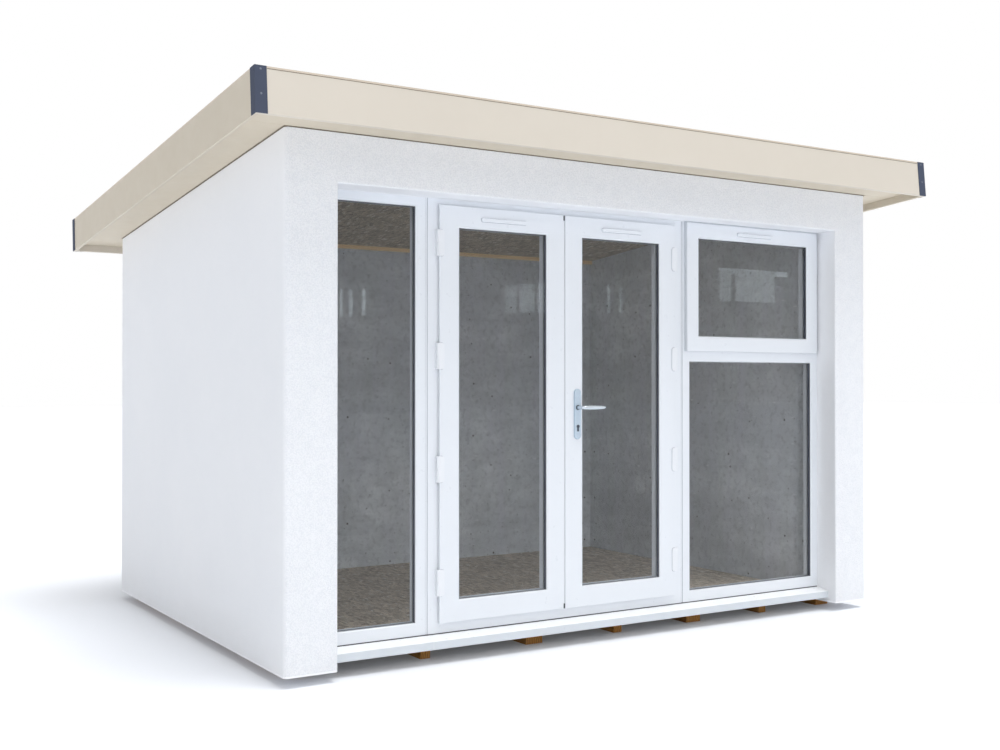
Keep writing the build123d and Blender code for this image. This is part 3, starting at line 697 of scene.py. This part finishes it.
def domed_heads_tree():
    """A low domed screw head on each seed, which faces the way of the seed's "facing"."""
    net, given, out = geometry_tree("domed_heads", {"Radius": 0.005, "Rise": 0.002})
    dome = net.node("GeometryNodeMeshUVSphere", {"Segments": 20, "Rings": 10, "Radius": 1.0}).outputs["Mesh"]
    facing = net.out("GeometryNodeInputNamedAttribute", {"Name": "facing"}, data_type="FLOAT_VECTOR")
    heads = net.out("GeometryNodeInstanceOnPoints", {
        "Points": given["Seeds"], "Instance": dome,
        "Rotation": net.out("FunctionNodeAlignRotationToVector", {"Vector": facing}, axis="Z"),
        "Scale": net.joined(given["Radius"], given["Radius"], given["Rise"])})
    finish_instances(net, given, out, heads)
    return net.tree


def seam_strips_tree():
    """Flat strips laid side by side at an even pitch, each of them a welded seam of the membrane."""
    net, given, out = geometry_tree(
        "seam_strips", {"Strips": 3, "Pitch": 1.0, "Width": 0.05, "Length": 3.0, "Thickness": 0.0015})
    first = net.times(net.times(net.math("SUBTRACT", given["Strips"], 1), given["Pitch"]), -0.5)
    row = net.out("GeometryNodeMeshLine", {"Count": given["Strips"], "Start Location": net.joined(first),
                                           "Offset": net.joined(given["Pitch"])})
    size = net.joined(given["Width"], given["Length"], given["Thickness"])
    strip = net.node("GeometryNodeMeshCube", {"Size": size}).outputs["Mesh"]
    strips = net.out("GeometryNodeInstanceOnPoints", {"Points": row, "Instance": strip})
    finish_instances(net, given, out, strips)
    return net.tree


DOMED_HEADS = domed_heads_tree()
SEAM_STRIPS = seam_strips_tree()


def seeds_mesh(name, seeds):
    """Loose points with the way each of them faces."""
    mesh = bpy.data.meshes.new(name)
    mesh.from_pydata([place for place, _ in seeds], [], [])
    facing = mesh.attributes.new("facing", "FLOAT_VECTOR", "POINT")
    for entry, (_, way) in zip(facing.data, seeds):
        entry.vector = way
    return mesh


def grow(name, tree, sizes, finish, seeds=None):
    """Run a geometry tree and keep what it makes as a plain mesh."""
    seed = in_scene(name + "_seeds", seeds or bpy.data.meshes.new(name + "_seeds"))
    modifier = seed.modifiers.new(name, "NODES")
    modifier.node_group = tree
    values = dict(sizes, Finish=finish)
    for item in tree.interface.items_tree:
        if item.in_out == "INPUT" and item.name in values:
            modifier[item.identifier] = values[item.name]
    graph = bpy.context.evaluated_depsgraph_get()
    mesh = bpy.data.meshes.new_from_object(seed.evaluated_get(graph), depsgraph=graph)
    mesh.name = name
    seed.modifiers.remove(modifier)
    bpy.data.objects.remove(seed)
    return mesh


def screw_heads(name, seeds, radius, rise, finish, slot, body):
    """A piece made of domed screw heads; each seed is the place of one and the way it faces."""
    mesh = grow(name, DOMED_HEADS, {"Radius": radius, "Rise": rise}, finish, seeds_mesh(name, seeds))
    piece(name, mesh, slot, body)


# ---- Roof: slope, cap screws, seams ----

front_board = span("front_fascia")
rear_board = span("rear_fascia")
caps = span("corner_caps")
membrane = span("roof_membrane")
roof_slope = math.atan2(front_board[2][0] - rear_board[2][0], rear_board[1][0] - front_board[1][0])
up_the_fascia = Vector((0.0, math.sin(roof_slope), math.cos(roof_slope)))
down_the_roof = Vector((0.0, math.cos(roof_slope), -math.sin(roof_slope)))
cap_leg = 50 * MM
cap_screw_radius = 4.5 * MM
cap_screw_rise = 1.4 * MM
front_screw_shares = (0.43, 0.96)     # up the height of a cap
rear_screw_shares = (0.43, 0.84)      # lower, where the lean of a rear cap leaves room for the head


def cap_screws():
    """Two screws in the front or rear leg of each corner cap."""
    seeds = []
    height = (front_board[2][1] - front_board[2][0]) / math.cos(roof_slope)
    front_foot = Vector((0.0, caps[1][0], front_board[2][0]))
    rear_foot = Vector((0.0, caps[1][1] - height * math.sin(roof_slope), caps[2][0]))
    for foot, way, shares in ((front_foot, -down_the_roof, front_screw_shares),
                              (rear_foot, down_the_roof, rear_screw_shares)):
        for side in (-1, 1):
            across = Vector((side * (caps[0][1] - cap_leg / 2), 0.0, 0.0))
            for share in shares:
                seeds.append((foot + across + up_the_fascia * height * share, way))
    screw_heads("cap_screws", seeds, cap_screw_radius, cap_screw_rise, CAP_SCREW, "corner_cap", BUILDING)


seam_count = 3
seam_pitch = 1.28
seam_width = 60 * MM
seam_thickness = 1.6 * MM
seam_end_gap = 10 * MM
membrane_thickness = 3 * MM


def membrane_seams():
    """Welded seams that run down the roof."""
    length = (membrane[1][1] - membrane[1][0]) / math.cos(roof_slope) - 2 * seam_end_gap
    sizes = {"Strips": seam_count, "Pitch": seam_pitch, "Width": seam_width,
             "Length": length, "Thickness": seam_thickness}
    mesh = grow("membrane_seams", SEAM_STRIPS, sizes, SEAM_TAPE)
    middle_top = Vector((0.0, middle(membrane[1]), middle(membrane[2])))
    lift = up_the_fascia * (membrane_thickness / 2 + seam_thickness / 2)
    for vertex in mesh.vertices:
        vertex.co = (middle_top + lift + Vector((vertex.co.x, 0.0, 0.0)) + down_the_roof * vertex.co.y
                     + up_the_fascia * vertex.co.z)
    piece("membrane_seams", mesh, "roof_membrane", BUILDING)


cap_screws()
membrane_seams()

# ---- Seals, blocks and door furniture ----

seal_height = 5 * MM
seal_proud = 1.4 * MM
seal_drop = 1 * MM               # below the foot of the frames
seal_bite = 2 * MM               # into the frames
side_light = span("side_light_frame")
window = span("window_frame")
opening = (side_light[0][0], window[0][1])


def sill_seal():
    """The dark bead of sealant between the frames and the sill."""
    y = (side_light[1][0] - seal_proud, side_light[1][0] + seal_bite)
    solid("sill_seal", [(add_block, opening, y, after(side_light[2][0] - seal_drop, seal_height))],
          "black_rubber", BUILDING, bevel=0.3 * MM)


left_leaf = span("left_door_leaf")
right_leaf = span("right_door_leaf")
lip_thickness = 1.5 * MM
lip_setback = 1 * MM
lip_depth = 8 * MM
lip_end_gap = 3 * MM


def meeting_lips():
    """A grey sealing lip down the meeting edge of each leaf."""
    for leaf, body, x in ((left_leaf, "left_door", after(left_leaf[0][1], lip_thickness)),
                          (right_leaf, "right_door", before(right_leaf[0][0], lip_thickness))):
        y = after(leaf[1][0] + lip_setback, lip_depth)
        solid(body + "_lip", [(add_block, x, y, shrink(leaf[2], lip_end_gap))],
              "black_rubber", body, GREY_LIP, 0.3 * MM, 1)


cap_block_height = 24 * MM
cap_block_proud = 2 * MM
cap_block_inset = 2 * MM
cap_block_lap = 5.5 * MM         # onto the face of the left leaf


def meeting_caps():
    """Small black caps at the top and foot of the edge where the leaves meet."""
    x = (left_leaf[0][1] - cap_block_lap, left_leaf[0][1] + lip_thickness)
    y = before(left_leaf[1][0], cap_block_proud)
    ends = inside(shrink(left_leaf[2], cap_block_inset), cap_block_height)
    solid("meeting_caps", [(add_block, x, y, z) for z in ends], "black_rubber", "left_door", bevel=0.5 * MM)


def rounded_outline(across, up, radii, steps=8):
    """A rectangle's outline, with radii for its corners from the lower left round to the upper left."""
    centres = ((across[0] + radii[0], up[0] + radii[0]), (across[1] - radii[1], up[0] + radii[1]),
               (across[1] - radii[2], up[1] - radii[2]), (across[0] + radii[3], up[1] - radii[3]))
    outline = []
    for number, ((centre_across, centre_up), radius) in enumerate(zip(centres, radii)):
        for step in range(steps + 1 if radius else 1):
            turn = math.pi * (1 + number / 2 + step / steps / 2)
            outline.append((centre_across + radius * math.cos(turn), centre_up + radius * math.sin(turn)))
    return outline


def add_rounded_plate(bm, x, y, z, radii):
    """An upright plate with a radius for each corner."""
    outline = rounded_outline(x, z, radii)
    add_loft(bm, [[(px, depth, pz) for px, pz in outline] for depth in y])


outline_show = 1.4 * MM
outline_thickness = 0.5 * MM
outline_start = 3 * MM              # from the edge of the leaf
hinge_plate_radius = 12 * MM
rounding_share = 0.999           # keeps a sliver of straight edge between two corners


def vent_shadow_outlines():
    """A grey outline round each trickle vent: a thin plate under its canopy, painted shadow round the
    canopy's edge.
    """
    for node, body in (("left_door_vent", "left_door"), ("right_door_vent", "right_door"),
                       ("window_vent", BUILDING)):
        x, y, z = span(node)
        x, z = shrink(x, -outline_show), shrink(z, -outline_show)
        radii = ((z[1] - z[0]) / 2 * rounding_share,) * 4
        solid(node + "_gasket", [(add_rounded_plate, x, before(y[1], outline_thickness), z, radii)],
              "white_frame", body, SHADOW_OUTLINE_GREY)


def islands_along_z(node, gap=0.05):
    """The limits in Z of a node's separate solids."""
    mesh = NODES[node]
    heights = sorted((mesh.matrix_world @ vertex.co).z for vertex in mesh.data.vertices)
    found = [[heights[0], heights[0]]]
    for height in heights:
        if height > found[-1][1] + gap:
            found.append([height, height])
        found[-1][1] = height
    return found


def hinge_shadow_outlines():
    """A grey outline round the plate of each hinge: a thin plate under it, painted shadow round the plate's
    edge.
    """
    radius = hinge_plate_radius + outline_show
    left_x = (left_leaf[0][0] + outline_start, span("left_leaf_hinges")[0][1] + outline_show)
    right_x = (span("right_leaf_hinges")[0][0] - outline_show, right_leaf[0][1] - outline_start)
    for node, body, leaf, x, radii in (
            ("left_leaf_hinges", "left_door", left_leaf, left_x, (0, radius, radius, 0)),
            ("right_leaf_hinges", "right_door", right_leaf, right_x, (radius, 0, 0, radius))):
        y = before(leaf[1][0], outline_thickness)
        solid(node + "_gasket", [(add_rounded_plate, x, y, shrink(z, -outline_show), radii)
                                 for z in islands_along_z(node)], "white_frame", body, SHADOW_OUTLINE_GREY)


sealant_width = 3 * MM
sealant_bite = 1 * MM            # into the frame behind it


def frame_sealant():
    """White sealant in the corner between the frames and the head and jambs of the opening."""
    _, y, z = side_light
    y = (y[0] - sealant_width, y[0] + sealant_bite)
    beads = [(add_block, opening, y, before(z[1], sealant_width))]
    for x in inside(opening, sealant_width):
        beads.append((add_block, x, y, (z[0], z[1] - sealant_width)))
    solid("frame_sealant", beads, "white_frame", BUILDING, SEALANT, 1.2 * MM, 3)


sash_seal_width = 6 * MM
sash_seal_setback = 3 * MM       # behind the face of the sash


def sash_head_seal():
    """A pale grey seal in the gap between the sash and the head and jambs of its frame: the seal fills the
    gap, and its grey is painted shade of that gap.
    """
    x, y, z = span("window_sash")
    y = (y[0] + sash_seal_setback, window[1][0] + sealant_bite)
    strips = [(add_block, shrink(x, -sash_seal_width), y, (z[1], window[2][1] - sealant_bite))]
    for jamb in outside(x, sash_seal_width):
        strips.append((add_block, jamb, y, z))
    solid("sash_head_seal", strips, "white_frame", BUILDING, SASH_SEAL_PAINTED_SHADE, 1 * MM)


wall_corner_radius = 20 * MM
soffit_shadow_height = 4 * MM
soffit_shadow_proud = 1 * MM


def soffit_shadow_strip():
    """A dark strip all round where the soffit boards meet the render: painted shadow of the gap under the
    boards.
    """
    walls_x = (span("left_wall")[0][0], span("right_wall")[0][1])
    walls_y = (span("front_left_pier")[1][0], span("rear_wall")[1][1])
    boards = span("side_soffits")
    rings = []
    for proud, drop in ((0.0, 0.0), (soffit_shadow_proud, 0.0),
                        (soffit_shadow_proud, soffit_shadow_height), (0.0, soffit_shadow_height)):
        outline = rounded_outline(shrink(walls_x, -proud), shrink(walls_y, -proud),
                                  (wall_corner_radius + proud,) * 4)
        rings.append([(x, y, boards[2][0] + (boards[1][1] - y) * math.tan(roof_slope) - drop)
                      for x, y in outline])
    solid("soffit_shadow_strip", [(add_loft, rings, True)], "black_rubber", BUILDING, SOFFIT_SHADOW_STRIP)


trim_shadow_proud = 0.6 * MM
trim_shadow_bite = 1 * MM         # into the board
trim_shadow_fall = (1 * MM, 4 * MM)    # its limits below the top of the board


def trim_shadow_strip():
    """A thin dark strip under the edge trim along the top of the front fascia: painted shadow under the trim.
    """
    x, y, z = front_board
    face_height = (z[1] - z[0] - (y[1] - y[0]) * math.tan(roof_slope)) / math.cos(roof_slope)
    top = Vector((0.0, y[0] + face_height * math.sin(roof_slope), z[1]))
    upper, lower = trim_shadow_fall
    section = [top - up_the_fascia * down - down_the_roof * out
               for out, down in ((-trim_shadow_bite, upper), (trim_shadow_proud, upper),
                                 (trim_shadow_proud, lower), (-trim_shadow_bite, lower))]
    ends = [[(end, corner.y, corner.z) for corner in section] for end in shrink(x, cap_leg)]
    solid("trim_shadow_strip", [(add_loft, ends)], "black_rubber", BUILDING, TRIM_SHADOW_STRIP)


groove_strip_width = 1.4 * MM
groove_strip_depth = 1.5 * MM


def coupler_groove_strips():
    """Thin grey strips in the joints between the frames and the couplers that hold them together: painted
    shade in those grooves.
    """
    couplers = span("frame_couplers")
    doors = span("door_frame")
    y = before(couplers[1][0], groove_strip_depth)
    gaps = ((side_light[0][1], doors[0][0]), (doors[0][1], window[0][0]))
    strips = [(add_block, x, y, couplers[2]) for gap in gaps for x in inside(gap, groove_strip_width)]
    solid("coupler_groove_strips", strips, "white_frame", BUILDING, COUPLER_GROOVE_SHADE)


lever_box = span("lever_handle")
plates = span("handle_plates")
cylinder = span("lock_cylinder")
lever_x = middle(plates[0])
lever_z = middle(lever_box[2])
# Stations along a lever, in mm: reach along the leaf, stand-off from the plate, half height, half thickness
lever_stations = (
    (0.0, -2.0, 9.0, 9.0), (0.0, 14.0, 8.9, 8.9), (0.0, 28.0, 8.5, 8.5), (0.6, 36.0, 8.4, 8.2),
    (3.2, 42.6, 8.6, 7.6), (8.5, 47.0, 9.0, 6.8), (16.0, 49.2, 9.4, 6.2), (32.0, 50.0, 9.9, 5.8),
    (54.0, 49.8, 10.2, 5.6), (78.0, 48.8, 9.8, 5.3), (100.0, 47.2, 8.8, 4.9), (116.0, 45.6, 7.6, 4.5),
    (125.0, 44.6, 6.6, 4.1), (131.0, 43.9, 5.2, 3.4), (134.4, 43.5, 3.4, 2.4), (135.8, 43.3, 1.4, 1.1),
)
lever_sides = 28
lever_squareness = 2.4          # 2 is an ellipse; more is squarer
spindle_side = 8 * MM
spindle_inset = 2 * MM


def lever_section(turn, half_height, half_thickness):
    """A point of a lever's rounded section: how far out and how far up."""
    across, rise = math.cos(turn), math.sin(turn)
    power = 2 / lever_squareness
    return (math.copysign(abs(across) ** power, across) * half_thickness,
            math.copysign(abs(rise) ** power, rise) * half_height)


def add_lever(bm, plate_y, outwards):
    """Loft one lever from its plate; outwards is -1 on the front and 1 in the room."""
    rings = []
    for number, (reach, standoff, half_height, half_thickness) in enumerate(lever_stations):
        last = lever_stations[max(number - 1, 0)]
        coming = lever_stations[min(number + 1, len(lever_stations) - 1)]
        along = Vector((coming[0] - last[0], outwards * (coming[1] - last[1]), 0.0)).normalized()
        side = along.cross(Vector((0.0, 0.0, 1.0)))
        centre = Vector((lever_x + reach * MM, plate_y + outwards * standoff * MM, lever_z))
        ring = []
        for step in range(lever_sides):
            out, rise = lever_section(step * math.tau / lever_sides, half_height * MM, half_thickness * MM)
            ring.append(centre + side * out + Vector((0.0, 0.0, rise)))
        rings.append(ring)
    add_loft(bm, rings)


def levers():
    """Both levers and the square spindle between them."""
    spindle = (about(lever_x, spindle_side), shrink(plates[1], spindle_inset), about(lever_z, spindle_side))
    made = solid("lever_and_spindle", [(add_lever, plates[1][0], -1), (add_lever, plates[1][1], 1),
                                       (add_block, *spindle)], "satin_chrome", "door_lever", LEVER_CHROME_PAINTED_HIGHLIGHT)
    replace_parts(smooth(made), "lever_handle")


ring_inner = 9.6 * MM
ring_outer = 12.4 * MM
ring_proud = 1.2 * MM


def add_turned_ring(bm, y, steps=40):
    """A flat round ring about the levers' axis."""
    turns = [step * math.tau / steps for step in range(steps)]
    rings = []
    for depth, radius in ((y[0], ring_inner), (y[0], ring_outer), (y[1], ring_outer), (y[1], ring_inner)):
        rings.append([(lever_x + radius * math.cos(turn), depth, lever_z + radius * math.sin(turn))
                      for turn in turns])
    add_loft(bm, rings, closed=True)


def lever_rings_painted_shade():
    """Dark rings round the necks of the levers, in which the levers turn: their black is painted shade of the
    gap round each neck.
    """
    rings = [(add_turned_ring, y) for y in outside(plates[1], ring_proud)]
    smooth(solid("lever_rings_painted_shade", rings, "black_rubber", "right_door", bevel=0.3 * MM))


key_slot_width = 2.2 * MM
key_slot_height = 9 * MM
key_slot_depth = 0.15 * MM


def key_slot_painted_shade():
    """A thin black plate, the shape of the key's slot, on each end of the lock cylinder: painted shade of the
    slot.
    """
    barrel_z = cylinder[2][1] - (cylinder[0][1] - cylinder[0][0]) / 2
    x, z = about(lever_x, key_slot_width), about(barrel_z, key_slot_height)
    solid("key_slot_painted_shade", [(add_block, x, y, z) for y in outside(cylinder[1], key_slot_depth)],
          "black_rubber", "right_door")


plate_screw_inset = 16 * MM
plate_screw_radius = 3.6 * MM
plate_screw_rise = 0.7 * MM


def plate_screws():
    """The screws at the top and foot of each handle plate."""
    seeds = []
    for y, side in zip(plates[1], (-1.0, 1.0)):
        for z in shrink(plates[2], plate_screw_inset):
            seeds.append((Vector((lever_x, y, z)), (0.0, side, 0.0)))
    screw_heads("plate_screws", seeds, plate_screw_radius, plate_screw_rise, FINISHES["satin_chrome"],
                "satin_chrome", "right_door")


sill_seal()
frame_sealant()
sash_head_seal()
soffit_shadow_strip()
trim_shadow_strip()
vent_shadow_outlines()
hinge_shadow_outlines()
meeting_lips()
meeting_caps()
coupler_groove_strips()
levers()
lever_rings_painted_shade()
key_slot_painted_shade()
plate_screws()

# ---- The finishes of the CAD nodes ----

# The side linings take the lining board with painted light, darker at the foot and lighter at the head.
own_finishes = {"side_fascias": SIDE_FASCIA_PAINTED_SHADE, "sill": SILL_PAINTED_LIGHT_AND_SHADE,
                "side_linings": lining_board("side_lining_board", 0.92, 1.22)}

for entry in frame["record"]["subparts"]:
    mesh = NODES[entry["node"]].data
    mesh.materials.clear()
    mesh.materials.append(own_finishes.get(entry["node"]) or FINISHES[entry["material_slot"]])

# ---- Studio and camera ----

floor_half = 60.0
sky_level = 0.44
floor_lift = 0.06
# Lamps: name, direction towards it, strength and spread in degrees
lamps = (
    ("overhead_lamp", (0.05, -0.08, 1.0), 1.08, 28),
    ("fore_lamp", (0.05, -0.3, 1.0), 0.88, 28),
    ("right_lamp", (0.35, -0.25, 1.0), 0.62, 28),
    ("front_lamp", (-0.2, -1.0, 0.8), 0.38, 40),
    ("left_lamp", (-1.0, -0.6, 0.2), 0.21, 50),
)
# Lamps far in front, which show as soft streaks and patches in the glass: X, Z, width, height, brightness
streak_lamps_y = -13.1
streak_lamp_colour = (0.82, 0.95, 1.0)
streak_lamps = (
    (4.07, 2.50, 0.05, 0.42, 3.4), (4.23, 2.50, 0.07, 0.42, 3.0), (4.45, 2.52, 0.06, 0.40, 3.4),
    (7.10, 2.66, 0.22, 0.46, 1.45), (7.42, 2.68, 0.30, 0.48, 1.8), (7.73, 2.70, 0.22, 0.50, 2.1),
    (9.13, 2.74, 0.06, 0.50, 2.6), (9.39, 2.72, 0.06, 0.46, 2.6),
    (11.83, 3.08, 0.31, 0.58, 1.35), (12.60, 3.10, 1.00, 0.60, 1.45), (12.55, 3.36, 1.75, 0.10, 2.3),
)


def seen_rays(net):
    """1 for rays that show a surface to the camera, straight, in a reflection or through glass."""
    path = net.node("ShaderNodeLightPath").outputs
    return net.math("MAXIMUM", path["Is Camera Ray"],
                    net.math("MAXIMUM", path["Is Glossy Ray"], path["Is Transmission Ray"]))


def studio_floor():
    """A pale floor that is white in the open and keeps the object's shadow."""
    bm = bmesh.new()
    bm.faces.new([bm.verts.new((floor_half * x, floor_half * y, 0))
                  for x, y in ((-1, -1), (1, -1), (1, 1), (-1, 1))])
    floor = in_scene("studio_floor", mesh_from("studio_floor", bm))
    material = bpy.data.materials.new("studio_floor")
    net = Net(emptied(material))
    seen = seen_rays(net)
    colour = net.mix(seen, paint(244, 247, 253), paint(236, 239, 244))
    matt = net.out("ShaderNodeBsdfDiffuse", {"Color": colour})
    lift = net.out("ShaderNodeEmission", {"Color": (1, 1, 1, 1), "Strength": net.times(seen, floor_lift)})
    net.node("ShaderNodeOutputMaterial", {0: net.out("ShaderNodeAddShader", {0: matt, 1: lift})})
    floor.data.materials.append(material)


def studio_light():
    """Even light from all round, broad lamps overhead and weaker ones in front and to the left."""
    world = bpy.data.worlds.new("studio")
    bpy.context.scene.world = world
    net = Net(emptied(world))
    seen = seen_rays(net)
    colour = net.mix(seen, (0.99, 0.993, 1.0, 1.0), (1.0, 1.0, 1.0, 1.0))
    level = net.remap(seen, (0.0, 1.0), (sky_level, 1.0))
    background = net.out("ShaderNodeBackground", {"Color": colour, "Strength": level})
    net.node("ShaderNodeOutputWorld", {0: background})
    for name, towards, strength, spread in lamps:
        data = bpy.data.lights.new(name, "SUN")
        data.energy = strength
        data.angle = math.radians(spread)
        in_scene(name, data).rotation_euler = Vector(towards).to_track_quat("Z", "Y").to_euler()
    for number, (x, z, width, height, brightness) in enumerate(streak_lamps):
        data = bpy.data.lights.new(f"streak_lamp_{number}", "AREA")
        data.shape = "RECTANGLE"
        data.size, data.size_y = width, height
        data.color = streak_lamp_colour
        data.energy = brightness * math.pi * width * height
        lamp = in_scene(data.name, data)
        lamp.location = (x, streak_lamps_y, z)
        lamp.rotation_euler = (math.pi / 2, 0.0, 0.0)


camera_lens = 43.44              # for a sensor 36 wide
camera_place = (-3.6287, -5.9581, 1.2586)
camera_lift = 0.0075             # how far it looks up, in radians
camera_turn = -0.5605            # how far it looks to the right of straight ahead
camera_reach = 200.0


def camera():
    """A view from about chest height, to the left of the pod's front."""
    data = bpy.data.cameras.new("camera")
    data.sensor_width = 36.0
    data.lens = camera_lens
    data.clip_end = camera_reach
    view = in_scene("camera", data)
    view.location = camera_place
    view.rotation_euler = (math.pi / 2 + camera_lift, 0.0, camera_turn)
    bpy.context.scene.camera = view


studio_floor()
studio_light()
camera()
bpy.context.scene.view_settings.view_transform = "Standard"
